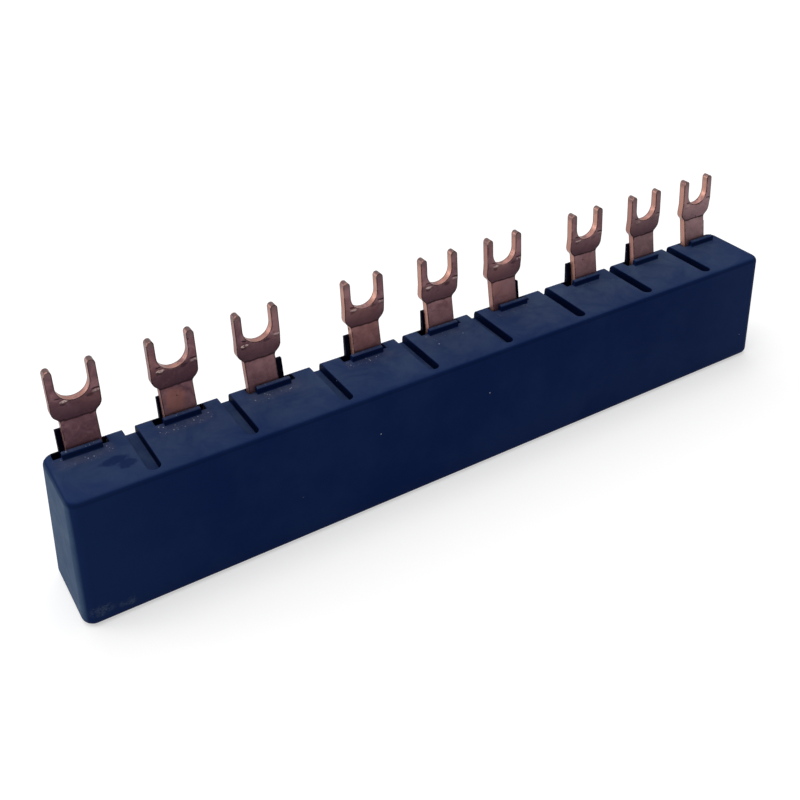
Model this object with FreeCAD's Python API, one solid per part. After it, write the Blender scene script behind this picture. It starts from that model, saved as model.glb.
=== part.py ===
import FreeCAD, Part
import math
import os

# Comb busbar: three one-piece copper combs in an insulating housing. Each comb feeds one phase of three
# motor starters that stand side by side, and each of its taps ends in a fork for a terminal screw.
# Frame: X along the housing, +Y to its open rear, +Z up the forks, origin under the middle of the base.
# Millimetres and degrees.

# Row of taps. Each comb is loose in its slots, and every second one has slid the other way.
phase_count = 3
starter_count = 3
starter_pitch = 45.0
slot_pitch = 14.4
tap_pitch = 13.5
tap_row_offset = -0.1
comb_slide = 0.25

# Housing
slot_end_land = 1.3
base_depth = 14.0
housing_height = 20.8
end_flare = 0.7
front_flare = 0.9
rear_flare = 0.55
upright_edge_radius = 1.8
top_edge_radius = 0.9
base_edge_radius = 1.2
end_wall = 1.6
front_wall = 1.4
floor_wall = 1.5
roof_wall = 1.5

# Slots for the taps, with a lip in front of each
slot_width = 7.8
slot_front_gap = 0.1
slot_rear_gap = 0.05
lip_width = 5.55
lip_thickness = 0.8
lip_height = 1.1
lip_edge_radius = 0.3

# Grooves across the top, for the barriers between the starters' terminals
groove_width = 2.0
groove_depth = 1.6
groove_front_land = 1.3
groove_rib_wall = 1.1

# Copper combs
copper_thickness = 1.2
bar_height = 11.5
bar_end_margin = 4.0
bar_pitch = 3.0
front_standoff = 0.6
standoff_rib_width = 1.2
tap_width = 4.9
tap_root_radius = 1.2
jog_start = 1.5
jog_rise = 1.5
bend_inner_radius = 0.8
crease_inner_radius = 0.3

# Stem and fork of each tap, measured up from the housing's top
stem_back_set = 2.1
lean_start = 0.2
neck_height = 4.95
crease_height = 8.4
fork_height = 12.8
stem_lean = 11.8
shoulder_lean = -1.2
tine_lean = 5.8
fork_width = 6.95
fork_slot_width = 4.7
fork_slot_depth = 5.0
neck_radius = 0.8
shoulder_radius = 1.6

# Insulating pieces
fit_gap = 0.1
cover_thickness = 0.8
tab_width = 5.3
tab_height = 3.1
tab_lean = 5.0
cover_rib_width = 1.2

# Places worked out from the sizes above
middle_starter = (starter_count - 1) / 2
middle_phase = (phase_count - 1) / 2
row_half = middle_starter * starter_pitch + middle_phase * slot_pitch + slot_width / 2
top_length = 2 * (row_half + slot_end_land)
base_length = top_length + 2 * end_flare
inner_half = top_length / 2 - end_wall
rear_top_y = base_depth / 2 - rear_flare
front_top_y = -base_depth / 2 + front_flare
inner_top = housing_height - roof_wall
slot_low = inner_top - roof_wall
bar_bottom = floor_wall
bar_top = bar_bottom + bar_height
jog_start_z = bar_top + jog_start + bend_inner_radius + copper_thickness / 2
stem_front_y = rear_top_y - stem_back_set
stem_middle_y = stem_front_y + copper_thickness / 2
slot_front_y = stem_front_y - slot_front_gap
front_bar_y = front_top_y + front_wall + front_standoff
separator_thickness = bar_pitch - copper_thickness
groove_rib_width = groove_width + 2 * groove_rib_wall
groove_rib_bottom = housing_height - groove_depth - groove_rib_wall
reach = 2 * base_depth


def rear_y(z):
    """Y of the housing's rear face at a height."""
    return base_depth / 2 - rear_flare * z / housing_height


def box(x0, x1, y0, y1, z0, z1):
    return Part.makeBox(x1 - x0, y1 - y0, z1 - z0, FreeCAD.Vector(x0, y0, z0))


def slot_centres():
    """X of each slot: the slots of one starter lie slot_pitch apart."""
    return [
        (starter - middle_starter) * starter_pitch + (phase - middle_phase) * slot_pitch
        for starter in range(starter_count)
        for phase in range(phase_count)
    ]


def tap_centres(phase):
    """X of one phase's taps, one at each starter."""
    slide = -comb_slide if phase % 2 == 0 else comb_slide
    first = tap_row_offset + slide + (phase - middle_phase) * tap_pitch
    return [first + (starter - middle_starter) * starter_pitch for starter in range(starter_count)]


def groove_centres():
    """X of each groove, halfway between neighbouring slots."""
    slots = slot_centres()
    return [(left + right) / 2 for left, right in zip(slots, slots[1:])]


def tapered_block(end_inset, front_inset, z_low, z_high, rear_reach=0.0):
    """Block that follows the housing's flared walls, set in from its ends and front."""
    half = {}
    front = {}
    rear = {}
    for z in (z_low, z_high):
        share = z / housing_height
        half[z] = base_length / 2 - end_flare * share - end_inset
        front[z] = -base_depth / 2 + front_flare * share + front_inset
        rear[z] = rear_y(z) + rear_reach
    low_side = (-half[z_low], z_low, -rear[z_low], -rear[z_high], -half[z_high])
    high_side = (half[z_low], z_high, -front[z_low], -front[z_high], half[z_high])
    block = Part.makeWedge(*low_side, *high_side)
    block.rotate(FreeCAD.Vector(), FreeCAD.Vector(1, 0, 0), 90)
    return block


def edges_at_height(shape, z):
    return [e for e in shape.Edges if all(abs(v.Z - z) < 1e-6 for v in e.Vertexes)]


def edges_along_y(shape, places):
    """Edges parallel to Y that cross the front view at one of the given (x, z) places."""
    found = []
    for e in shape.Edges:
        for x, z in places:
            if all(abs(v.X - x) < 1e-6 and abs(v.Z - z) < 1e-6 for v in e.Vertexes):
                found.append(e)
    return found


def make_lip(x):
    """Rounded ridge that keeps a tap's stem off the housing's front edge."""
    rear = slot_front_y
    front = rear - lip_thickness
    low = housing_height - roof_wall / 2
    high = housing_height + lip_height
    lip = box(x - lip_width / 2, x + lip_width / 2, front, rear, low, high)
    return lip.makeFillet(lip_edge_radius, edges_at_height(lip, high))


def make_groove(x):
    """Groove with a full-radius front end and an open rear end."""
    radius = groove_width / 2
    front = front_top_y + groove_front_land
    low = housing_height - groove_depth
    straight = box(x - radius, x + radius, front + radius, reach, low, reach)
    end = Part.makeCylinder(radius, reach - low, FreeCAD.Vector(x, front + radius, low))
    return straight.fuse(end)


def rounded_body():
    """Outside form of the housing, without its slots and grooves."""
    body = tapered_block(0.0, 0.0, 0.0, housing_height)
    upright = [e for e in body.Edges if abs(e.Vertexes[0].Z - e.Vertexes[1].Z) > housing_height / 2]
    body = body.makeFillet(upright_edge_radius, upright)
    body = body.makeFillet(top_edge_radius, edges_at_height(body, housing_height))
    return body.makeFillet(base_edge_radius, edges_at_height(body, 0.0))


def make_housing():
    """Moulded hood: closed at the front, ends, top and base, open at the rear."""
    body = rounded_body()
    cavity = tapered_block(end_wall, front_wall, floor_wall, inner_top, reach)
    ribs = []
    for x in groove_centres():
        wide = groove_rib_width / 2
        ribs.append(box(x - wide, x + wide, front_top_y, reach, groove_rib_bottom, inner_top))
        wide = standoff_rib_width / 2
        ribs.append(box(x - wide, x + wide, -reach, front_bar_y, bar_bottom, bar_top))
    body = body.cut(cavity.cut(ribs))

    body = body.fuse([make_lip(x) for x in slot_centres()])
    cuts = [make_groove(x) for x in groove_centres()]
    for x in slot_centres():
        cuts.append(box(x - slot_width / 2, x + slot_width / 2, slot_front_y, reach, slot_low, reach))
    return body.cut(cuts).removeSplitter().Solids[0]


def bent_strip(corners, radii, thickness):
    """Side outline of a bent sheet: its middle line turns at the corners, on the given middle radii."""
    points = [FreeCAD.Vector(0, y, z) for y, z in corners]
    half = thickness / 2
    sides = {1: [], -1: []}

    def normal(a, b):
        along = (b - a).normalize()
        return FreeCAD.Vector(0, -along.z, along.y)

    for side in sides:
        start = points[0] + normal(points[0], points[1]) * half * side
        for before, corner, after, radius in zip(points, points[1:], points[2:], radii):
            into = (corner - before).normalize()
            out = (after - corner).normalize()
            turn = math.atan2(into.y * out.z - into.z * out.y, into.dot(out))
            hand = math.copysign(1, turn)
            cut_back = radius * math.tan(abs(turn) / 2)
            centre = corner - into * cut_back + normal(before, corner) * radius * hand
            arm = radius - half * side * hand
            arc_start = centre - normal(before, corner) * arm * hand
            arc_end = centre - normal(corner, after) * arm * hand
            middle = (arc_start + arc_end) / 2 - centre
            arc_middle = centre + middle.normalize() * arm
            sides[side].append(Part.LineSegment(start, arc_start).toShape())
            sides[side].append(Part.Arc(arc_start, arc_middle, arc_end).toShape())
            start = arc_end
        end = points[-1] + normal(points[-2], points[-1]) * half * side
        sides[side].append(Part.LineSegment(start, end).toShape())

    caps = [
        Part.LineSegment(sides[1][-1].Vertexes[-1].Point, sides[-1][-1].Vertexes[-1].Point).toShape(),
        Part.LineSegment(sides[1][0].Vertexes[0].Point, sides[-1][0].Vertexes[0].Point).toShape(),
    ]
    edges = Part.__sortEdges__(sides[1] + sides[-1] + caps)
    return Part.Face(Part.Wire(edges))


def fork_outline(x):
    """Front outline of one tap, from the bar's top edge to the fork's tips."""
    top = housing_height
    low = bar_top - tap_root_radius
    neck = top + neck_height
    tip = top + fork_height
    stem = tap_width / 2
    outer = fork_width / 2
    inner = fork_slot_width / 2
    tine_radius = (outer - inner) / 2
    flare = outer - stem
    corners = [(-stem, low), (stem, low), (stem, neck), (outer, neck + flare), (outer, tip - tine_radius)]
    corners += [(-outer, tip - tine_radius), (-outer, neck + flare), (-stem, neck), (-stem, low)]
    outline = Part.Face(Part.makePolygon([FreeCAD.Vector(x + a, -reach, z) for a, z in corners]))
    plate = outline.extrude(FreeCAD.Vector(0, 2 * reach, 0))

    plate = plate.makeFillet(neck_radius, edges_along_y(plate, [(x - stem, neck), (x + stem, neck)]))
    shoulders = [(x - outer, neck + flare), (x + outer, neck + flare)]
    plate = plate.makeFillet(shoulder_radius, edges_along_y(plate, shoulders))

    forward = FreeCAD.Vector(0, 1, 0)
    for side in (-1, 1):
        middle = FreeCAD.Vector(x + side * (inner + tine_radius), -reach, tip - tine_radius)
        plate = plate.fuse(Part.makeCylinder(tine_radius, 2 * reach, middle, forward))
    slot_middle = tip - fork_slot_depth + inner
    slot = box(x - inner, x + inner, -reach, reach, slot_middle, tip + inner)
    bottom = Part.makeCylinder(inner, 2 * reach, FreeCAD.Vector(x, -reach, slot_middle), forward)
    return plate.cut([slot, bottom]).removeSplitter()


def tap_line(bar_y):
    """Middle line of one comb seen from its end, and the middle radius of each bend."""
    top = housing_height

    def step(point, angle, z):
        y0, z0 = point
        return (y0 + (z - z0) * math.tan(math.radians(angle)), z)

    jog = (bar_y, jog_start_z)
    riser = (stem_middle_y, jog_start_z + jog_rise)
    lean = (stem_middle_y, top + lean_start)
    neck = step(lean, stem_lean, top + neck_height)
    crease = step(neck, shoulder_lean, top + crease_height)
    tip = step(crease, tine_lean, top + fork_height + copper_thickness)
    bend = bend_inner_radius + copper_thickness / 2
    crease_bend = crease_inner_radius + copper_thickness / 2
    line = [(bar_y, bar_bottom), jog, riser, lean, neck, crease, tip]
    return line, [bend, bend, crease_bend, crease_bend, crease_bend]


def make_busbar(phase):
    """One phase's comb: a flat bar on edge, with taps that jog back to the slots and end in forks."""
    taps = tap_centres(phase)
    bar_y = front_bar_y + phase * bar_pitch + copper_thickness / 2
    left = taps[0] - bar_end_margin
    right = taps[-1] + bar_end_margin

    line, radii = tap_line(bar_y)
    sheet = bent_strip(line, radii, copper_thickness)
    sheet.translate(FreeCAD.Vector(left, 0, 0))
    sheet = sheet.extrude(FreeCAD.Vector(right - left, 0, 0))

    blank = box(left, right, -reach, reach, bar_bottom, bar_top)
    blank = blank.fuse([fork_outline(x) for x in taps]).removeSplitter()
    roots = [(x + side * tap_width / 2, bar_top) for x in taps for side in (-1, 1)]
    blank = blank.makeFillet(tap_root_radius, edges_along_y(blank, roots))
    return sheet.common(blank).Solids[0]


def make_separator(gap):
    """Insulating strip that fills the gap behind one phase's bar."""
    front = front_bar_y + gap * bar_pitch + copper_thickness
    half = inner_half - fit_gap
    high = bar_top + jog_start - fit_gap
    return box(-half, half, front, front + separator_thickness, bar_bottom, high)


def stem_rear_y(height):
    """Y of a stem's rear face at a height above the housing's top."""
    lean = math.radians(stem_lean)
    middle = stem_middle_y + max(height - lean_start, 0.0) * math.tan(lean)
    return middle + copper_thickness / 2 / math.cos(lean)


def make_tab(x):
    """Tab behind one tap: its front follows the leaning stem and its rear leans less."""
    top = housing_height
    high = top + tab_height
    low = top - top_edge_radius
    front = stem_rear_y(0.0) + slot_rear_gap
    top_rear = rear_top_y + tab_height * math.tan(math.radians(tab_lean))
    corners = [(front, top), (front, low), (rear_y(low), low), (rear_top_y, top)]
    corners += [(top_rear, high), (stem_rear_y(tab_height) + slot_rear_gap, high)]
    corners.append(corners[0])
    outline = Part.Face(Part.makePolygon([FreeCAD.Vector(x - tab_width / 2, y, z) for y, z in corners]))
    return outline.extrude(FreeCAD.Vector(tab_width, 0, 0))


def make_rear_cover():
    """Cover that closes the housing's rear, with a filler block and a tab in each slot."""
    low = floor_wall + fit_gap
    high = inner_top - fit_gap
    half = inner_half - fit_gap
    corners = [(rear_y(low) - cover_thickness, low), (rear_y(low), low)]
    corners += [(rear_y(high), high), (rear_y(high) - cover_thickness, high)]
    corners.append(corners[0])
    outline = Part.Face(Part.makePolygon([FreeCAD.Vector(-half, y, z) for y, z in corners]))
    cover = outline.extrude(FreeCAD.Vector(2 * half, 0, 0))

    pieces = []
    bar_rear = front_bar_y + (phase_count - 1) * bar_pitch + copper_thickness
    for x in groove_centres():
        wide = cover_rib_width / 2
        rear = rear_top_y - cover_thickness / 2
        pieces.append(box(x - wide, x + wide, bar_rear, rear, bar_bottom + fit_gap, bar_top))
    outside = rounded_body()
    for x in slot_centres():
        wide = slot_width / 2 - fit_gap
        front = stem_rear_y(0.0) + slot_rear_gap
        filler = box(x - wide, x + wide, front, reach, slot_low + fit_gap, housing_height)
        pieces.append(filler.common(outside))
        pieces.append(make_tab(x))
    cover = cover.fuse(pieces)
    notches = []
    for x in groove_centres():
        wide = groove_rib_width / 2 + fit_gap
        notches.append(box(x - wide, x + wide, -reach, reach, groove_rib_bottom - fit_gap, reach))
    return cover.cut(notches).removeSplitter().Solids[0]


def main():
    os.makedirs("parts", exist_ok=True)
    parts = {"housing": make_housing(), "rear_cover": make_rear_cover()}
    for phase in range(phase_count):
        parts["busbar_l%d" % (phase + 1)] = make_busbar(phase)
    for gap in range(phase_count - 1):
        parts["phase_separator_%d" % (gap + 1)] = make_separator(gap)
    for name, shape in parts.items():
        shape.exportStep("parts/%s.step" % name)


main()
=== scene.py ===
import math
from collections import namedtuple
from functools import cached_property

import bpy
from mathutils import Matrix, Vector


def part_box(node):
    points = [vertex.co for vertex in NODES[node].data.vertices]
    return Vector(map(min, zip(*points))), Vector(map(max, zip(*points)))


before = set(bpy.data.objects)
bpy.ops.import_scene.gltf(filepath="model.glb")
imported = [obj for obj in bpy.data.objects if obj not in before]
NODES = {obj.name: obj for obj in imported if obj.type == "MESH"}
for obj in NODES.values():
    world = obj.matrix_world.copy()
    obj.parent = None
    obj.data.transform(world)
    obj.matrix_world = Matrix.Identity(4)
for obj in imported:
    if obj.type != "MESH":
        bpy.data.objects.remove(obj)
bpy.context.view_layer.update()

# Comb busbar: finishes of the navy housing, the copper combs and the black rear cover, and the stage
# they are shown on. Metres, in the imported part's own frame.

bl_info = {
    "name": "Comb busbar finishes",
    "version": (1, 0, 0),
    "blender": (4, 5, 0),
    "location": "3D View > Sidebar > Busbar",
    "description": "Moulded plastic, tarnished copper and dust for a comb busbar",
    "category": "Object",
}

BUSBARS = sorted(name for name in NODES if name.startswith("busbar"))
SEPARATORS = sorted(name for name in NODES if name.startswith("phase_separator"))

# The housing's flat top lies below its lips. Its slots come in threes, one three to each starter.
LIP_HEIGHT = 0.0011
HOUSING_TOP = max(corner.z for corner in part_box("housing")) - LIP_HEIGHT
HOUSING_END = max(corner.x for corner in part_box("housing"))
STARTER_PITCH = 0.045
SLOT_PITCH = 0.0144

# Each fork has a slot for the screw. Half its width, and its depth from the tips.
FORK_SLOT_HALF = 0.00235
FORK_SLOT_DEPTH = 0.0050

# The rim that slots and grooves leave whole: Y behind the front and X before an end, each where it
# begins to stop and where it has stopped. The painted shade on the walls of slots and grooves is kept off
# this rim.
FRONT_RIM = (-0.0054, -0.0048)
END_RIM = (HOUSING_END - 0.0012, HOUSING_END - 0.0020)

# Copper dust lies in a strip before the lips: Y of its middle, half its width and how far it fades out.
# By each slot it reaches so far to both sides, and fades out over so much more.
DUST_STRIP = (0.0029, 0.0005, 0.0014)
DUST_BY_SLOT = (0.0032, 0.0016)

# Marks of use, each a centre and how far it reaches from there.
DAMP_STAIN = (
    ((-0.0561, -0.0001, HOUSING_TOP), (0.0026, 0.0011, 0.001)),
    ((-0.0549, -0.0014, HOUSING_TOP), (0.0017, 0.0014, 0.001)),
)
CORNER_SCUFFS = (
    ((-0.0626, -0.0068, 0.0025), (0.0022, 0.003, 0.0013)),
    ((-0.0590, -0.0068, 0.0021), (0.0016, 0.003, 0.0008)),
)
RED_PATCH = ((-0.0455, 0.0053, HOUSING_TOP + 0.0027), (0.0018, 0.003, 0.0026))

# Marks that the terminal's clamp leaves on each fork: across from its middle, down from its tip,
# half the width and half the height. Their shade and highlight are painted into the colour.
CLAMP_HOLLOW = (0.0017, 0.0051, 0.0007, 0.00045)
CLAMP_SHADE = (-0.0020, 0.00545, 0.0005, 0.00022)
CLAMP_DENT = (-0.0018, 0.0050, 0.00065, 0.00026)

# How far the clamp's marks stray from tap to tap, across and up, and how far marks and creases waver.
CLAMP_STRAY = (0.0011, 0.0006)
WAVER = 0.00055

# Every tap draws its marks by a seed of its own, which grows with the starter and with the comb's place.
SEED_PER_STARTER = 3.7
SEED_PER_METRE = 900.0

# The matt plastic has a faint bluish sheen. Tarnish takes away part of the copper's.
HOUSING_SHEEN = 0.012
HOUSING_SHEEN_TINT = (0.35, 0.60, 1.0, 1.0)
COVER_SHEEN = 0.02
COPPER_METALLIC = 0.72

# How far the painted highlights below the creases and on the clamp's dents go from the colour of bright
# copper to white.
GLARE = 0.32

# Lamps: name, place, side of the square and watts. All of them point at the middle of the object.
LAMPS = (
    ("key lamp", (-0.28, 0.02, 0.80), 0.5, 2.3),
    ("top lamp", (0.10, 0.35, 0.80), 0.7, 2.0),
    ("side lamp", (-0.60, 0.45, 0.22), 0.35, 1.3),
)
LAMP_AIM = (0.0, 0.0, 0.01)
SENSOR_WIDTH = 36.0
NEAREST_SEEN = 0.005


class BusbarPlasticSettings(bpy.types.PropertyGroup):
    housing_colour: bpy.props.FloatVectorProperty(
        name="Housing", description="Navy of the moulded housing", subtype="COLOR", size=3,
        min=0.0, max=1.0, default=(0.0051, 0.0150, 0.0695))
    # Paler navy of the patches and of the housing toward its ends.
    faded_colour: bpy.props.FloatVectorProperty(
        name="Faded housing", description="Paler navy of the handled areas", subtype="COLOR", size=3,
        min=0.0, max=1.0, default=(0.0086, 0.0212, 0.0810))
    cover_colour: bpy.props.FloatVectorProperty(
        name="Rear cover", description="Black of the rear cover and its tabs", subtype="COLOR", size=3,
        min=0.0, max=1.0, default=(0.0004, 0.0002, 0.0075))
    separator_colour: bpy.props.FloatVectorProperty(
        name="Separators", description="Grey of the strips between the bars", subtype="COLOR", size=3,
        min=0.0, max=1.0, default=(0.16, 0.16, 0.165))
    dust_colour: bpy.props.FloatVectorProperty(
        name="Dust", description="Colour of the dust film", subtype="COLOR", size=3,
        min=0.0, max=1.0, default=(0.19, 0.25, 0.285))
    # Painted sheen: the pale colour on the ends stands in for the light they reflect.
    painted_sheen_colour: bpy.props.FloatVectorProperty(
        name="Bloom", description="Pale bloom on the ends", subtype="COLOR", size=3,
        min=0.0, max=1.0, default=(0.155, 0.265, 0.37))
    haze_colour: bpy.props.FloatVectorProperty(
        name="Copper dust", description="Brown dust that lies before the lips", subtype="COLOR", size=3,
        min=0.0, max=1.0, default=(0.25, 0.19, 0.18))
    grain_colour: bpy.props.FloatVectorProperty(
        name="Grains", description="Colour of the pale grains and scratches", subtype="COLOR", size=3,
        min=0.0, max=1.0, default=(0.38, 0.40, 0.45))
    dust: bpy.props.FloatProperty(
        name="Dust film", description="Share of the top that the dust film hides", subtype="FACTOR",
        min=0.0, max=1.0, default=0.09)
    # How much of the ends the painted sheen covers.
    painted_sheen: bpy.props.FloatProperty(
        name="Bloom on the ends", description="Share of the ends that the bloom hides", subtype="FACTOR",
        min=0.0, max=1.0, default=0.31)
    roughness: bpy.props.FloatProperty(
        name="Roughness", description="Roughness of the moulded plastic", subtype="FACTOR",
        min=0.0, max=1.0, default=0.5)
    edge_radius: bpy.props.FloatProperty(
        name="Edge softness", description="Radius that the mould leaves on sharp edges", unit="LENGTH",
        subtype="DISTANCE", min=0.0, default=0.00025)


class BusbarCopperSettings(bpy.types.PropertyGroup):
    tarnish_colour: bpy.props.FloatVectorProperty(
        name="Tarnish", description="Brown of the oxidised sheet faces", subtype="COLOR", size=3,
        min=0.0, max=1.0, default=(0.244, 0.125, 0.135))
    # Also the colour of the painted shade on the heads above the neck bends, and, at lower strength, of the
    # painted shade in the folds, above the creases and in the clamp's hollows.
    dark_colour: bpy.props.FloatVectorProperty(
        name="Dark tarnish", description="Purple brown of the heaviest tarnish", subtype="COLOR", size=3,
        min=0.0, max=1.0, default=(0.118, 0.051, 0.068))
    # Also the colour of the painted highlights: on the left-facing sheared sides, the forks' inner walls and
    # left tips, and, paler, below the creases and on the clamp's dents.
    bright_colour: bpy.props.FloatVectorProperty(
        name="Bright copper", description="Copper of the sheared edges and rubbed places",
        subtype="COLOR", size=3, min=0.0, max=1.0, default=(0.54, 0.28, 0.215))
    tip_colour: bpy.props.FloatVectorProperty(
        name="Tips", description="Grey brown of the worn tips", subtype="COLOR", size=3,
        min=0.0, max=1.0, default=(0.105, 0.066, 0.067))
    pale_colour: bpy.props.FloatVectorProperty(
        name="Pale film", description="Greyer copper of the right-hand taps", subtype="COLOR", size=3,
        min=0.0, max=1.0, default=(0.29, 0.19, 0.19))
    warm_colour: bpy.props.FloatVectorProperty(
        name="Warm patches", description="Redder copper where the tarnish is thin", subtype="COLOR", size=3,
        min=0.0, max=1.0, default=(0.28, 0.112, 0.092))
    roughness: bpy.props.FloatProperty(
        name="Roughness", description="Roughness of the rolled sheet", subtype="FACTOR",
        min=0.0, max=1.0, default=0.42)
    edge_radius: bpy.props.FloatProperty(
        name="Edge roll", description="Radius that the press leaves on the cut edges", unit="LENGTH",
        subtype="DISTANCE", min=0.0, default=0.00035)
    tap_spacing: bpy.props.FloatProperty(
        name="Tap spacing", description="Distance between the taps of one comb", unit="LENGTH",
        subtype="DISTANCE", min=0.001, default=STARTER_PITCH)
    neck_height: bpy.props.FloatProperty(
        name="Neck", description="Height of the lower crease above the housing", unit="LENGTH",
        subtype="DISTANCE", min=0.0, default=0.00495)
    crease_height: bpy.props.FloatProperty(
        name="Crease", description="Height of the upper crease above the housing", unit="LENGTH",
        subtype="DISTANCE", min=0.0, default=0.0084)
    tip_height: bpy.props.FloatProperty(
        name="Tip", description="Height of the tips above the housing", unit="LENGTH",
        subtype="DISTANCE", min=0.0, default=0.0128)


class BusbarStageSettings(bpy.types.PropertyGroup):
    floor_colour: bpy.props.FloatVectorProperty(
        name="Floor", description="Pale colour of the floor", subtype="COLOR", size=3,
        min=0.0, max=1.0, default=(0.62, 0.62, 0.62))
    floor_size: bpy.props.FloatProperty(
        name="Floor size", description="Side of the square floor", unit="LENGTH",
        subtype="DISTANCE", min=0.5, default=6.0)
    floor_glow: bpy.props.FloatProperty(
        name="Floor glow", description="What the floor adds to reach white where it is looked at",
        min=0.0, default=0.46)
    room_light: bpy.props.FloatProperty(
        name="Room light", description="How strongly the white surroundings light the object",
        min=0.0, default=0.64)
    camera_place: bpy.props.FloatVectorProperty(
        name="Camera place", description="Where the camera stands", unit="LENGTH",
        subtype="TRANSLATION", size=3, default=(-0.083694, -0.113343, 0.110376))
    camera_turn: bpy.props.FloatVectorProperty(
        name="Camera turn", description="Which way the camera looks", unit="ROTATION", subtype="EULER",
        size=3, default=(math.radians(60.8345), math.radians(-0.4075), math.radians(-32.4985)))
    camera_lens: bpy.props.FloatProperty(
        name="Lens", description="Focal length on a 36 mm sensor", unit="CAMERA",
        min=1.0, default=46.779)
    camera_shift: bpy.props.FloatProperty(
        name="Shift", description="How far the picture is shifted upright, as a share of its side",
        default=-0.15)


def node(tree, kind, inputs=None, **settings):
    """Add a node. Inputs are values or the outputs of other nodes, by socket name or number."""
    made = tree.nodes.new(kind)
    for name, value in settings.items():
        setattr(made, name, value)
    for key, value in (inputs or {}).items():
        if isinstance(value, bpy.types.NodeSocket):
            tree.links.new(value, made.inputs[key])
        else:
            made.inputs[key].default_value = value
    return made


def maths(tree, operation, *values, clamp=False):
    """Result of an operation on values or on the outputs of other nodes."""
    made = node(tree, "ShaderNodeMath", dict(enumerate(values)), operation=operation, use_clamp=clamp)
    return made.outputs[0]


def paint(colour, strength=1.0):
    """A colour setting with its alpha, darker or paler by strength."""
    return (*(min(1.0, strength * value) for value in colour), 1.0)


Parts = namedtuple("Parts", "x y z")


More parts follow.
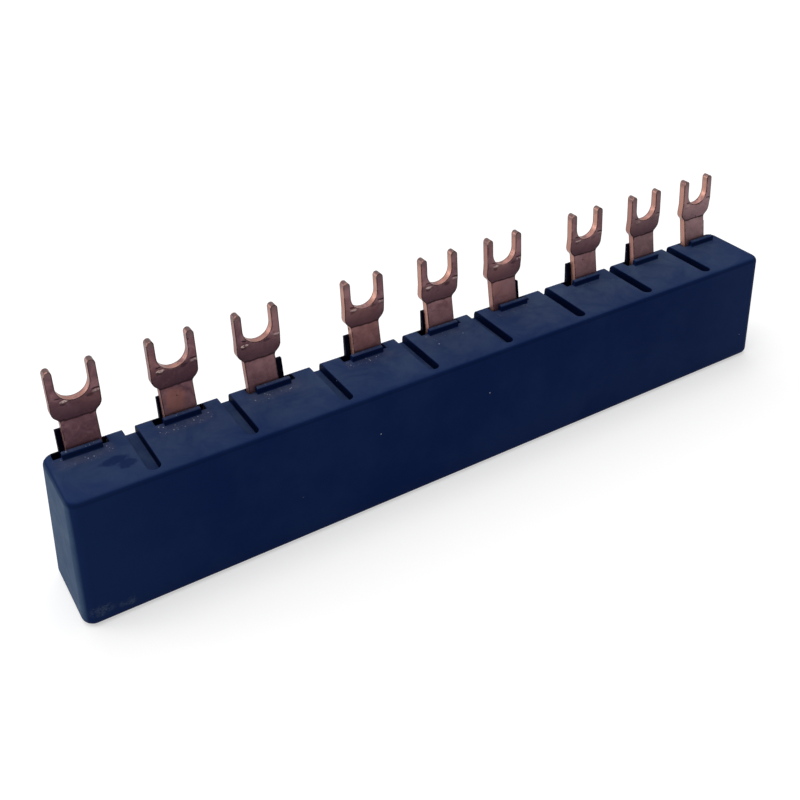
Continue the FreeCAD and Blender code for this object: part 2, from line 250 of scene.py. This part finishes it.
class Finish:
    """A new material and the steps that its colours, masks and relief are built from.

    A mask is a number from 0 to 1 at each place of the surface.
    """

    def __init__(self, name, looks):
        self.looks = looks
        self.material = bpy.data.materials.new(name)
        self.material.use_nodes = True
        self.tree = self.material.node_tree
        self.shader = self.tree.nodes["Principled BSDF"]
        self.place = node(self.tree, "ShaderNodeTexCoord").outputs["Object"]

    @cached_property
    def at(self):
        """X, Y and Z of the place."""
        return Parts(*node(self.tree, "ShaderNodeSeparateXYZ", {"Vector": self.place}).outputs)

    @cached_property
    def flat(self):
        """Normal of the surface as it is modelled."""
        return node(self.tree, "ShaderNodeNewGeometry").outputs["Normal"]

    @cached_property
    def facing(self):
        """X, Y and Z of that normal."""
        return Parts(*node(self.tree, "ShaderNodeSeparateXYZ", {"Vector": self.flat}).outputs)

    @cached_property
    def rounded(self):
        """Normal with softened edges."""
        softened = node(self.tree, "ShaderNodeBevel", {"Radius": self.looks.edge_radius}, samples=8)
        return softened.outputs["Normal"]

    @cached_property
    def match(self):
        """How well the two normals agree: 1 on a face, 0.7 on a square edge."""
        inputs = {0: self.rounded, 1: self.flat}
        return node(self.tree, "ShaderNodeVectorMath", inputs, operation="DOT_PRODUCT").outputs["Value"]

    @cached_property
    def edges(self):
        """Mask of the softened edges."""
        return self.ramp(self.match, 0.995, 0.90)

    def lead(self, value, socket):
        """Lead a value that varies over the surface into the shader."""
        self.tree.links.new(value, self.shader.inputs[socket])

    def maths(self, operation, *values, clamp=False):
        """Result of an operation on values that may vary over the surface."""
        return maths(self.tree, operation, *values, clamp=clamp)

    def product(self, first, *others):
        """Masks multiplied with each other."""
        for other in others:
            first = self.maths("MULTIPLY", first, other)
        return first

    def strongest(self, first, *others):
        """The highest of several masks."""
        for other in others:
            first = self.maths("MAXIMUM", first, other)
        return first

    def weighed(self, *shares):
        """Sum of values, each given with its share."""
        parts = [self.product(value, share) for value, share in shares]
        total = parts[0]
        for part in parts[1:]:
            total = self.maths("ADD", total, part)
        return total

    def ramp(self, value, low, high, to_low=0.0, to_high=1.0):
        """Smooth step of a value from one range into another."""
        inputs = {"Value": value, "From Min": low, "From Max": high, "To Min": to_low, "To Max": to_high}
        made = node(self.tree, "ShaderNodeMapRange", inputs, interpolation_type="SMOOTHSTEP")
        return made.outputs["Result"]

    def stripe(self, value, middle, half, soft):
        """Mask that is 1 within half of a value's middle and fades out over soft."""
        away = self.maths("ABSOLUTE", self.maths("SUBTRACT", value, middle))
        return self.ramp(away, half + soft, half)

    def blend(self, share, first, second):
        """Mix two colours."""
        inputs = {0: share, 6: first, 7: second}
        return node(self.tree, "ShaderNodeMix", inputs, data_type="RGBA").outputs[2]

    def stretched(self, scale=(1.0, 1.0, 1.0), shift=(0.0, 0.0, 0.0)):
        """The place, scaled and moved, for a noise that differs from the others."""
        inputs = {"Vector": self.place, "Scale": scale, "Location": shift}
        return node(self.tree, "ShaderNodeMapping", inputs).outputs["Vector"]

    def noise(self, scale, detail=2.0, roughness=0.5, distortion=0.0, place=None):
        """Cloudy noise from 0 to 1, with about scale clouds to the metre."""
        inputs = {"Vector": place or self.place, "Scale": scale, "Detail": detail,
                  "Roughness": roughness, "Distortion": distortion}
        return node(self.tree, "ShaderNodeTexNoise", inputs).outputs["Fac"]

    def specks(self, spacing, share, size, place=None):
        """Scattered grains: about one cell in 1 / share holds a grain, of up to size times the spacing."""
        inputs = {"Vector": place or self.place, "Scale": 1.0 / spacing, "Randomness": 1.0}
        cells = node(self.tree, "ShaderNodeTexVoronoi", inputs)
        chance = node(self.tree, "ShaderNodeSeparateColor", {"Color": cells.outputs["Color"]})
        radius = self.product(self.ramp(chance.outputs["Red"], 1.0 - share, 1.0), size)
        return self.maths("LESS_THAN", cells.outputs["Distance"], radius)

    def spot(self, centre, reach, ragged, place=None):
        """Mask that is 1 at a centre and fades out at reach, with a ragged outline."""
        place = place or self.place
        away = node(self.tree, "ShaderNodeVectorMath", {0: place, 1: centre}, operation="SUBTRACT")
        per_reach = {0: away.outputs["Vector"], 1: tuple(1.0 / side for side in reach)}
        scaled = node(self.tree, "ShaderNodeVectorMath", per_reach, operation="MULTIPLY")
        distance = node(self.tree, "ShaderNodeVectorMath", {0: scaled.outputs["Vector"]}, operation="LENGTH")
        wobble = self.product(self.maths("SUBTRACT", self.noise(700.0, detail=3.0, place=place), 0.5), ragged)
        return self.ramp(self.maths("ADD", distance.outputs["Value"], wobble), 1.0, 0.55)

    def spots(self, marks, ragged):
        """Mask of several spots, each given as its centre and reach."""
        return self.strongest(*(self.spot(centre, reach, ragged) for centre, reach in marks))

    def relief(self, height, depth, strength):
        """Fine relief on top of the softened edges."""
        inputs = {"Height": height, "Distance": depth, "Strength": strength, "Normal": self.rounded}
        self.lead(node(self.tree, "ShaderNodeBump", inputs).outputs["Normal"], "Normal")


def faded_plastic(skin):
    """Colour of the bare housing: navy, paler in patches and toward the ends."""
    patches = skin.ramp(skin.noise(75.0, detail=4.0, roughness=0.6), 0.35, 0.68)
    toward_ends = skin.ramp(skin.maths("ABSOLUTE", skin.at.x), 0.040, HOUSING_END)
    share = skin.maths("ADD", skin.product(patches, 0.8), toward_ends, clamp=True)
    return skin.blend(share, paint(skin.looks.housing_colour), paint(skin.looks.faded_colour))


def dust_film(skin, upward, drift):
    """Mask of the dust on top. It is thicker to the rear and to the right and thinner by the ends."""
    rearward = skin.ramp(skin.at.y, -0.0075, 0.0005, 0.55, 1.5)
    rightward = skin.ramp(skin.at.x, -0.020, 0.030, 1.0, 1.3)
    from_middle = skin.maths("ABSOLUTE", skin.at.x)
    by_ends = skin.ramp(from_middle, HOUSING_END - 0.0080, HOUSING_END - 0.0020, 1.0, 0.72)
    return skin.product(upward, rearward, rightward, by_ends, drift, skin.looks.dust)


def painted_end_sheen(skin, drift):
    """Mask of the painted sheen on the two ends: a pale colour that stands in for the light that they
    reflect.
    """
    ends = skin.ramp(skin.maths("ABSOLUTE", skin.at.x), HOUSING_END - 0.0012, HOUSING_END - 0.0008)
    endward = skin.ramp(skin.maths("ABSOLUTE", skin.facing.x), 0.6, 0.95)
    uneven = skin.maths("MULTIPLY_ADD", drift, 0.5, 0.4)
    return skin.product(ends, endward, uneven, skin.looks.painted_sheen)


def dusty_shelf(skin, upward):
    """Mask of the strip before each slot where copper dust gathers, less and less to the right."""
    column = skin.maths("WRAP", skin.at.x, STARTER_PITCH / 2, -STARTER_PITCH / 2)
    by_middle_slot = skin.stripe(column, 0.0, *DUST_BY_SLOT)
    by_outer_slots = skin.stripe(skin.maths("ABSOLUTE", column), SLOT_PITCH, *DUST_BY_SLOT)
    before_lips = skin.stripe(skin.at.y, *DUST_STRIP)
    crowded = skin.ramp(skin.at.x, 0.045, -0.050, 0.12, 1.0)
    return skin.product(before_lips, skin.strongest(by_middle_slot, by_outer_slots), upward, crowded)


def painted_corner_shade(skin, on_lip):
    """Mask of the painted shade on the walls of slots and grooves, the steep faces of the lips and the
    rounded top edges.
    """
    from_middle = skin.maths("ABSOLUTE", skin.at.x)
    inside = skin.product(skin.ramp(skin.at.y, *FRONT_RIM), skin.ramp(from_middle, *END_RIM))
    below_top = skin.ramp(skin.at.z, HOUSING_TOP - 0.00005, HOUSING_TOP - 0.0003, 0.0, 0.75)
    walls = skin.product(inside, skin.ramp(skin.facing.z, 0.4, 0.1), below_top)
    lip_face = skin.product(on_lip, skin.ramp(skin.facing.z, 0.5, 0.15, 0.0, 0.45))
    off_lip = skin.ramp(skin.at.z, HOUSING_TOP + 0.0003, HOUSING_TOP + 0.0001, 0.0, 0.4)
    top_edge = skin.product(skin.stripe(skin.facing.z, 0.52, half=0.16, soft=0.22), off_lip)
    return skin.strongest(walls, lip_face, top_edge)


def pale_marks(skin, shelf, scuffed):
    """Mask of the grains before the slots, a few stray ones and the scratches of the scuffs."""
    clumps = skin.ramp(skin.noise(520.0, detail=3.0), 0.42, 0.60, 0.1, 1.0)
    grains = skin.product(skin.specks(spacing=0.00027, share=0.30, size=0.36), shelf, clumps)
    elsewhere = skin.stretched(shift=(0.013, 0.007, 0.005))
    stray = skin.specks(spacing=0.0017, share=0.07, size=0.085, place=elsewhere)
    flattened = skin.noise(2600.0, detail=4.0, roughness=0.7, place=skin.stretched(scale=(1.0, 1.0, 2.2)))
    scratches = skin.product(skin.ramp(flattened, 0.60, 0.72, 0.0, 0.45), scuffed)
    return skin.strongest(grains, stray, scratches)


def housing_finish(looks):
    """Navy plastic from an eroded mould, used: faded, dusty, stained by the first groove and scuffed, with
    painted shade in its slots, grooves and along its edges and a painted sheen on its ends.
    """
    skin = Finish("navy moulded plastic", looks)
    on_lip = skin.ramp(skin.at.z, HOUSING_TOP + 0.0001, HOUSING_TOP + 0.0003)
    lip_top = skin.product(on_lip, skin.ramp(skin.facing.z, 0.35, 0.85))
    upward = skin.strongest(skin.ramp(skin.facing.z, 0.76, 0.985), lip_top)
    drift = skin.ramp(skin.noise(160.0, detail=6.0, roughness=0.72, distortion=0.6), 0.30, 0.72, 0.35, 1.0)
    shelf = dusty_shelf(skin, upward)
    gathered = skin.noise(420.0, detail=6.0, roughness=0.7)
    haze = skin.product(shelf, skin.ramp(gathered, 0.34, 0.66, 0.02, 0.10))
    stain = skin.product(skin.spots(DAMP_STAIN, ragged=1.2), 0.7)
    scuffed = skin.spots(CORNER_SCUFFS, ragged=1.2)
    worn = skin.noise(1500.0, detail=5.0, roughness=0.7)
    rubbed = skin.product(scuffed, skin.ramp(worn, 0.40, 0.64, 0.0, 0.15))
    marks = pale_marks(skin, shelf, scuffed)

    colour = faded_plastic(skin)
    colour = skin.blend(dust_film(skin, upward, drift), colour, paint(looks.dust_colour))
    # Painted sheen: the ends are paled to stand in for the light they reflect.
    colour = skin.blend(painted_end_sheen(skin, drift), colour, paint(looks.painted_sheen_colour))
    colour = skin.blend(haze, colour, paint(looks.haze_colour))
    # Painted shade: slot and groove walls, the lips' steep faces and the rounded top edges are darkened.
    colour = skin.blend(painted_corner_shade(skin, on_lip), colour, paint(looks.housing_colour, strength=0.25))
    colour = skin.blend(stain, colour, paint(looks.housing_colour, strength=0.75))
    colour = skin.blend(rubbed, colour, paint(looks.dust_colour))
    colour = skin.blend(skin.product(marks, 0.8), colour, paint(looks.grain_colour))
    skin.lead(colour, "Base Color")

    eroded = skin.noise(420.0, detail=5.0, roughness=0.65)
    rough = skin.ramp(eroded, 0.2, 0.8, looks.roughness - 0.07, looks.roughness + 0.07)
    rough = skin.maths("ADD", rough, skin.product(marks, 0.3), clamp=True)
    skin.lead(skin.maths("SUBTRACT", rough, skin.product(skin.edges, 0.06)), "Roughness")
    skin.shader.inputs["Specular IOR Level"].default_value = HOUSING_SHEEN
    skin.shader.inputs["Specular Tint"].default_value = HOUSING_SHEEN_TINT
    grain = skin.noise(5200.0, detail=3.0, roughness=0.7)
    lumps = skin.noise(700.0, detail=2.0, roughness=0.5)
    skin.relief(skin.weighed((grain, 1.0), (lumps, 1.5), (marks, 2.0)), depth=0.000012, strength=0.55)
    return skin.material


def cover_finish(looks):
    """Black plastic, a little smoother than the housing, with grey dust in its grain."""
    skin = Finish("black moulded plastic", looks)
    cloud = skin.ramp(skin.noise(300.0, detail=4.0, roughness=0.65), 0.45, 0.8, 0.0, 0.03)
    grains = skin.product(skin.specks(spacing=0.0007, share=0.05, size=0.22), 0.2)
    colour = skin.blend(cloud, paint(looks.cover_colour), paint(looks.dust_colour))
    skin.lead(skin.blend(grains, colour, paint(looks.dust_colour)), "Base Color")

    rough = skin.ramp(skin.noise(900.0, detail=4.0), 0.2, 0.8, looks.roughness - 0.08, looks.roughness + 0.06)
    skin.lead(skin.maths("SUBTRACT", rough, skin.product(skin.edges, 0.08)), "Roughness")
    skin.shader.inputs["Specular IOR Level"].default_value = COVER_SHEEN
    skin.relief(skin.noise(4200.0, detail=3.0, roughness=0.7), depth=0.00001, strength=0.5)
    return skin.material


def separator_finish(looks):
    """Grey extruded strip with faint draw lines along its length."""
    skin = Finish("grey insulating strip", looks)
    lines = skin.noise(2600.0, detail=3.0, roughness=0.6, place=skin.stretched(scale=(0.03, 1.0, 1.0)))
    paler = paint(looks.separator_colour, strength=1.35)
    skin.lead(skin.blend(skin.ramp(lines, 0.3, 0.7), paint(looks.separator_colour), paler), "Base Color")
    skin.lead(skin.ramp(lines, 0.2, 0.8, 0.42, 0.58), "Roughness")
    skin.relief(lines, depth=0.000012, strength=0.4)
    return skin.material


class CopperFinish(Finish):
    """Finish of one comb, with the places on its taps and the noises that its marks share.

    The comb's middle tap stands at X = middle. lot holds three numbers that are drawn for each tap.
    """

    def __init__(self, looks, middle):
        super().__init__("tarnished copper", looks)
        from_middle = self.maths("SUBTRACT", self.at.x, middle)
        half = looks.tap_spacing / 2
        self.across = self.maths("WRAP", from_middle, half, -half)
        self.up = self.maths("SUBTRACT", self.at.z, HOUSING_TOP)
        self.front = self.ramp(self.facing.y, -0.45, -0.75)
        self.sheared = self.ramp(self.maths("ABSOLUTE", self.facing.y), 0.62, 0.35)
        self.drift = self.noise(95.0, detail=3.0, roughness=0.55, distortion=0.4)
        self.blotches = self.noise(620.0, detail=5.0, roughness=0.62, distortion=0.8)
        self.fine = self.noise(2300.0, detail=4.0, roughness=0.65)

        starter = self.maths("ROUND", self.maths("DIVIDE", from_middle, looks.tap_spacing))
        seed = self.maths("MULTIPLY_ADD", starter, SEED_PER_STARTER, SEED_PER_METRE * middle)
        drawn = node(self.tree, "ShaderNodeTexWhiteNoise", {"W": seed}, noise_dimensions="1D")
        drawn = node(self.tree, "ShaderNodeSeparateColor", {"Color": drawn.outputs["Color"]})
        self.lot = Parts(*drawn.outputs)

    def below_tip(self, low, high, to_low=0.0, to_high=1.0):
        """Smooth step of the height above the housing, between two depths below the tips."""
        tip = self.looks.tip_height
        return self.ramp(self.up, tip - low, tip - high, to_low, to_high)

    def strayed(self, value, lot, most):
        """A value that strays with a number from 0 to 1, by half of most up or down."""
        return self.maths("ADD", value, self.product(self.maths("SUBTRACT", lot, 0.5), most))

    def clamp_mark(self, place, mark, ragged):
        """Mask of one of the clamp's marks on every fork."""
        across, below_tip, half_width, half_height = mark
        centre = (across, 0.0, self.looks.tip_height - below_tip)
        return self.spot(centre, (half_width, 1.0, half_height), ragged, place)


def sheet_face(skin):
    """Colour of the rolled faces: brown with dark and redder patches, paler on the right-hand taps, with
    painted shade on the heads above the neck bends, and darker toward the housing.
    """
    looks = skin.looks
    heavy = skin.ramp(skin.weighed((skin.drift, 0.6), (skin.blotches, 0.4)), 0.40, 0.62)
    thin = skin.noise(115.0, detail=3.0, roughness=0.5, place=skin.stretched(shift=(0.047, 0.0, 0.0)))
    patch = skin.product(skin.spot(*RED_PATCH, ragged=1.0), 0.75)
    warm = skin.strongest(skin.ramp(thin, 0.54, 0.68, 0.0, 0.38), patch)
    pale = skin.ramp(skin.at.x, 0.015, 0.060, 0.0, 0.4)
    rubbed = skin.ramp(skin.weighed((skin.blotches, 0.6), (skin.fine, 0.4)), 0.52, 0.72, 0.0, 0.25)
    # Painted shade: the head above the neck bend faces down, so it is darkened here; the stems also darken
    # toward the housing.
    neck = looks.neck_height
    over_neck = skin.product(skin.ramp(skin.up, neck - 0.0001, neck + 0.0001),
                             skin.ramp(skin.up, neck + 0.0032, neck + 0.0002, 0.0, 0.6))
    by_slot = skin.ramp(skin.up, 0.0020, 0.0006, 0.0, 0.5)
    shaded = skin.product(skin.strongest(over_neck, by_slot), skin.front)

    face = skin.blend(heavy, paint(looks.tarnish_colour), paint(looks.dark_colour))
    face = skin.blend(warm, face, paint(looks.warm_colour))
    face = skin.blend(pale, face, paint(looks.pale_colour))
    face = skin.blend(rubbed, face, paint(looks.bright_colour))
    return skin.blend(shaded, face, paint(looks.dark_colour))


def sheared_side(skin):
    """Colour of the sheared sides, with a painted highlight where they face left."""
    warm = skin.ramp(skin.weighed((skin.fine, 0.5), (skin.blotches, 0.5)), 0.38, 0.64, 0.0, 0.8)
    brown = paint(skin.looks.tarnish_colour, strength=0.8)
    side = skin.blend(warm, brown, paint(skin.looks.warm_colour))
    # Painted highlight: left-facing sheared sides of the left-hand taps get bright copper, as if light came
    # from the left.
    painted_left_side_light = skin.product(skin.ramp(skin.at.x, -0.045, -0.010), skin.ramp(skin.facing.x, -0.5, -0.9),
                         skin.ramp(skin.lot.x, 0.1, 0.7, 0.1, 0.7))
    return skin.blend(painted_left_side_light, side, paint(skin.looks.bright_colour))


def press_and_clamp(skin):
    """Masks of the painted shade and the painted highlights on the front: painted shade in the folds at the
    necks, above the creases and in the clamp's hollows, and painted highlights below the creases and on the
    clamp's dents.
    """
    height = skin.strayed(skin.up, skin.blotches, WAVER)
    # Painted shade along the concave fold at the neck.
    fold = skin.product(skin.stripe(height, skin.looks.neck_height, half=0.00007, soft=0.00012), 0.9)
    right_tine = skin.ramp(skin.across, FORK_SLOT_HALF - 0.00015, FORK_SLOT_HALF + 0.00025)
    left_tine = skin.stripe(skin.across, 0.00005 - FORK_SLOT_HALF, half=0.0002, soft=0.0003)
    # Painted shadow just above each crease, and a painted highlight on the ridge just below it.
    above = skin.stripe(height, skin.looks.crease_height + 0.00016, half=0.00005, soft=0.00009)
    crease = skin.product(above, skin.strongest(right_tine, left_tine), skin.ramp(skin.drift, 0.34, 0.44))
    below = skin.stripe(height, skin.looks.crease_height - 0.00024, half=0.00010, soft=0.00018)
    by_right_tine = skin.ramp(skin.across, FORK_SLOT_HALF - 0.00015, FORK_SLOT_HALF + 0.00045)
    painted_crest_highlight = skin.product(below, by_right_tine, 0.6)

    stray_across, stray_up = CLAMP_STRAY
    across = skin.strayed(skin.across, skin.lot.x, stray_across)
    up = skin.strayed(height, skin.lot.y, stray_up)
    place = node(skin.tree, "ShaderNodeCombineXYZ", {"X": across, "Z": up}).outputs["Vector"]
    clamped = skin.product(skin.ramp(skin.at.x, 0.050, 0.010, 0.2, 1.0),
                           skin.ramp(skin.lot.z, 0.0, 0.4, 0.6, 1.0))
    # The clamp's hollows and dents are real; the shade in the hollow and below the dent and the highlight on
    # the dent are painted.
    hollow = skin.clamp_mark(place, CLAMP_HOLLOW, ragged=1.3)
    shade = skin.clamp_mark(place, CLAMP_SHADE, ragged=1.6)
    dent = skin.clamp_mark(place, CLAMP_DENT, ragged=1.8)

    hollows = skin.product(skin.strongest(hollow, shade), clamped, 0.6)
    dark = skin.product(skin.strongest(fold, crease, hollows), skin.front)
    bright = skin.product(skin.strongest(painted_crest_highlight, dent), skin.front, clamped)
    return dark, bright


def cut_edges(skin):
    """Masks of the rubbed copper, with painted highlights on the forks' inner walls and left tips, and of the
    dark line along the cut edges.
    """
    from_fork_middle = skin.maths("ABSOLUTE", skin.across)
    beside_slot = skin.ramp(from_fork_middle, FORK_SLOT_HALF + 0.00035, FORK_SLOT_HALF + 0.00007)
    above_slot_foot = skin.below_tip(FORK_SLOT_DEPTH + 0.0006, FORK_SLOT_DEPTH)
    in_fork = skin.product(beside_slot, skin.sheared, above_slot_foot)
    # Painted highlight on the forks' inner walls.
    painted_inner_wall_light = skin.product(in_fork, skin.ramp(skin.blotches, 0.36, 0.52, 0.0, 0.38))
    # Painted highlight at the top of each left tip.
    left_tip = skin.product(skin.below_tip(0.0008, 0.0004),
                            skin.ramp(skin.across, -FORK_SLOT_HALF - 0.00025, -FORK_SLOT_HALF - 0.00055))
    painted_left_tip_glint = skin.product(left_tip, skin.edges, skin.ramp(skin.fine, 0.40, 0.55, 0.2, 1.0))
    rubbed_and_painted_highlights = skin.strongest(skin.product(skin.edges, skin.ramp(skin.fine, 0.42, 0.62, 0.05, 0.6)), painted_inner_wall_light, painted_left_tip_glint)
    line = skin.product(skin.ramp(skin.match, 0.982, 0.91), skin.ramp(skin.blotches, 0.36, 0.52, 0.5, 1.0),
                        skin.ramp(painted_left_tip_glint, 0.1, 0.6, 1.0, 0.0))
    return rubbed_and_painted_highlights, line


def copper_finish(looks, middle):
    """Tarnished rolled copper of one comb, whose middle tap stands at X = middle."""
    skin = CopperFinish(looks, middle)
    # Painted shade and painted highlights of the folds, creases and clamp marks.
    dark, bright = press_and_clamp(skin)
    rubbed_and_painted_highlights, line = cut_edges(skin)
    tips = skin.below_tip(0.0016, 0.0002, 0.0, 0.75)
    pits = skin.product(skin.specks(spacing=0.0009, share=0.08, size=0.26), 0.8)
    stains = skin.ramp(skin.noise(1100.0, detail=4.0, roughness=0.6, distortion=1.2), 0.66, 0.74, 0.0, 0.6)
    # Pits, stains and the dark line along the cut edges, together with the painted shade of folds, creases
    # and clamp hollows.
    marks = skin.strongest(pits, stains, dark, line)

    colour = skin.blend(skin.sheared, sheet_face(skin), sheared_side(skin))
    colour = skin.blend(tips, colour, paint(looks.tip_colour))
    glare = tuple(GLARE + (1.0 - GLARE) * value for value in looks.bright_colour)
    # Painted highlights below the creases and on the clamp's dents.
    colour = skin.blend(skin.product(bright, skin.ramp(skin.fine, 0.35, 0.55)), colour, paint(glare))
    # Rubbed copper on the cut edges, with painted highlights on the forks' inner walls and left tips.
    colour = skin.blend(rubbed_and_painted_highlights, colour, paint(looks.bright_colour))
    colour = skin.blend(marks, colour, paint(looks.dark_colour, strength=0.30))
    skin.lead(colour, "Base Color")

    skin.shader.inputs["Metallic"].default_value = COPPER_METALLIC
    rough = skin.ramp(skin.blotches, 0.25, 0.75, looks.roughness - 0.08, looks.roughness + 0.12)
    rough = skin.maths("SUBTRACT", rough, skin.product(skin.strongest(rubbed_and_painted_highlights, tips), 0.12))
    skin.lead(skin.maths("ADD", rough, skin.product(marks, 0.25), clamp=True), "Roughness")
    height = skin.weighed((skin.fine, 0.8), (skin.blotches, 1.2), (marks, -1.0), (bright, 3.0))
    skin.relief(height, depth=0.00003, strength=0.7)
    return skin.material


def dress(name, material):
    """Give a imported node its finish."""
    slots = NODES[name].data.materials
    if len(slots) == 0:
        slots.append(material)
    for i in range(len(slots)):
        slots[i] = material


class BUSBAR_OT_housing(bpy.types.Operator):
    """Finish the housing as used navy plastic"""
    bl_idname = "busbar.housing"
    bl_label = "Housing"

    def execute(self, context):
        dress("housing", housing_finish(context.scene.busbar_plastic))
        return {"FINISHED"}


class BUSBAR_OT_rear_cover(bpy.types.Operator):
    """Finish the rear cover and its tabs as black plastic"""
    bl_idname = "busbar.rear_cover"
    bl_label = "Rear cover"

    def execute(self, context):
        dress("rear_cover", cover_finish(context.scene.busbar_plastic))
        return {"FINISHED"}


class BUSBAR_OT_separators(bpy.types.Operator):
    """Finish the strips between the bars"""
    bl_idname = "busbar.separators"
    bl_label = "Separators"

    def execute(self, context):
        finish = separator_finish(context.scene.busbar_plastic)
        for name in SEPARATORS:
            dress(name, finish)
        return {"FINISHED"}


class BUSBAR_OT_combs(bpy.types.Operator):
    """Finish the three combs as tarnished copper"""
    bl_idname = "busbar.combs"
    bl_label = "Copper combs"

    def execute(self, context):
        for name in BUSBARS:
            middle = sum(corner.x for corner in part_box(name)) / 2
            dress(name, copper_finish(context.scene.busbar_copper, middle))
        return {"FINISHED"}


def seen_directly(tree):
    """1 where the surface is looked at, straight or in a mirror or glass, and 0 where it only gives light."""
    path = node(tree, "ShaderNodeLightPath")
    mirrored = maths(tree, "MAXIMUM", path.outputs["Is Glossy Ray"], path.outputs["Is Transmission Ray"])
    return maths(tree, "MAXIMUM", path.outputs["Is Camera Ray"], mirrored)


def make_floor(stage):
    """Pale floor that keeps the object's shadow and looks white around it."""
    half = stage.floor_size / 2
    mesh = bpy.data.meshes.new("floor")
    corners = [(-half, -half, 0.0), (half, -half, 0.0), (half, half, 0.0), (-half, half, 0.0)]
    mesh.from_pydata(corners, [], [(0, 1, 2, 3)])
    floor = bpy.data.objects.new("floor", mesh)
    bpy.context.scene.collection.objects.link(floor)

    material = bpy.data.materials.new("pale floor")
    material.use_nodes = True
    tree = material.node_tree
    tree.nodes.clear()
    matt = node(tree, "ShaderNodeBsdfDiffuse", {"Color": paint(stage.floor_colour)})
    strength = maths(tree, "MULTIPLY", seen_directly(tree), stage.floor_glow)
    glow = node(tree, "ShaderNodeEmission", {"Strength": strength})
    both = node(tree, "ShaderNodeAddShader", {0: matt.outputs[0], 1: glow.outputs[0]})
    node(tree, "ShaderNodeOutputMaterial", {"Surface": both.outputs[0]})
    mesh.materials.append(material)
    return floor


def make_world(stage):
    """White surroundings that light the object more weakly than they look."""
    world = bpy.data.worlds.new("white room")
    world.use_nodes = True
    tree = world.node_tree
    tree.nodes.clear()
    strength = maths(tree, "MAXIMUM", seen_directly(tree), stage.room_light)
    glow = node(tree, "ShaderNodeBackground", {"Strength": strength})
    node(tree, "ShaderNodeOutputWorld", {"Surface": glow.outputs[0]})
    bpy.context.scene.world = world


def make_lamp(name, place, side, watts):
    """Square lamp that points at the object."""
    lamp = bpy.data.lights.new(name, "AREA")
    lamp.shape = "SQUARE"
    lamp.size = side
    lamp.energy = watts
    made = bpy.data.objects.new(name, lamp)
    made.location = place
    made.rotation_euler = (Vector(place) - Vector(LAMP_AIM)).to_track_quat("Z", "Y").to_euler()
    bpy.context.scene.collection.objects.link(made)


def make_camera(stage):
    """Camera at the stage's viewing angle."""
    camera = bpy.data.objects.new("camera", bpy.data.cameras.new("camera"))
    camera.location = stage.camera_place
    camera.rotation_euler = stage.camera_turn
    camera.data.sensor_width = SENSOR_WIDTH
    camera.data.lens = stage.camera_lens
    camera.data.shift_y = stage.camera_shift
    camera.data.clip_start = NEAREST_SEEN
    bpy.context.scene.collection.objects.link(camera)
    bpy.context.scene.camera = camera


class BUSBAR_OT_stage(bpy.types.Operator):
    """Set up the floor, the surroundings, the lamps and the camera"""
    bl_idname = "busbar.stage"
    bl_label = "Stage"

    def execute(self, context):
        stage = context.scene.busbar_stage
        make_floor(stage)
        make_world(stage)
        for lamp in LAMPS:
            make_lamp(*lamp)
        make_camera(stage)
        context.scene.view_settings.view_transform = "Standard"
        return {"FINISHED"}


OPERATORS = [BUSBAR_OT_housing, BUSBAR_OT_rear_cover, BUSBAR_OT_separators, BUSBAR_OT_combs, BUSBAR_OT_stage]


class BUSBAR_PT_panel(bpy.types.Panel):
    """Sizes, colours and steps of the comb busbar"""
    bl_label = "Comb busbar"
    bl_idname = "BUSBAR_PT_panel"
    bl_space_type = "VIEW_3D"
    bl_region_type = "UI"
    bl_category = "Busbar"

    def draw(self, context):
        layout = self.layout
        for group in (context.scene.busbar_plastic, context.scene.busbar_copper, context.scene.busbar_stage):
            box = layout.box()
            for name in group.__annotations__:
                box.prop(group, name)
        for operator in OPERATORS:
            layout.operator(operator.bl_idname)


SETTINGS = {
    "busbar_plastic": BusbarPlasticSettings,
    "busbar_copper": BusbarCopperSettings,
    "busbar_stage": BusbarStageSettings,
}
CLASSES = [*SETTINGS.values(), *OPERATORS, BUSBAR_PT_panel]


def register():
    for cls in CLASSES:
        bpy.utils.register_class(cls)
    for name, group in SETTINGS.items():
        setattr(bpy.types.Scene, name, bpy.props.PointerProperty(type=group))


def unregister():
    for name in SETTINGS:
        delattr(bpy.types.Scene, name)
    for cls in reversed(CLASSES):
        bpy.utils.unregister_class(cls)


def main():
    register()
    bpy.ops.busbar.housing()
    bpy.ops.busbar.rear_cover()
    bpy.ops.busbar.separators()
    bpy.ops.busbar.combs()
    bpy.ops.busbar.stage()


if __name__ == "__main__":
    main()
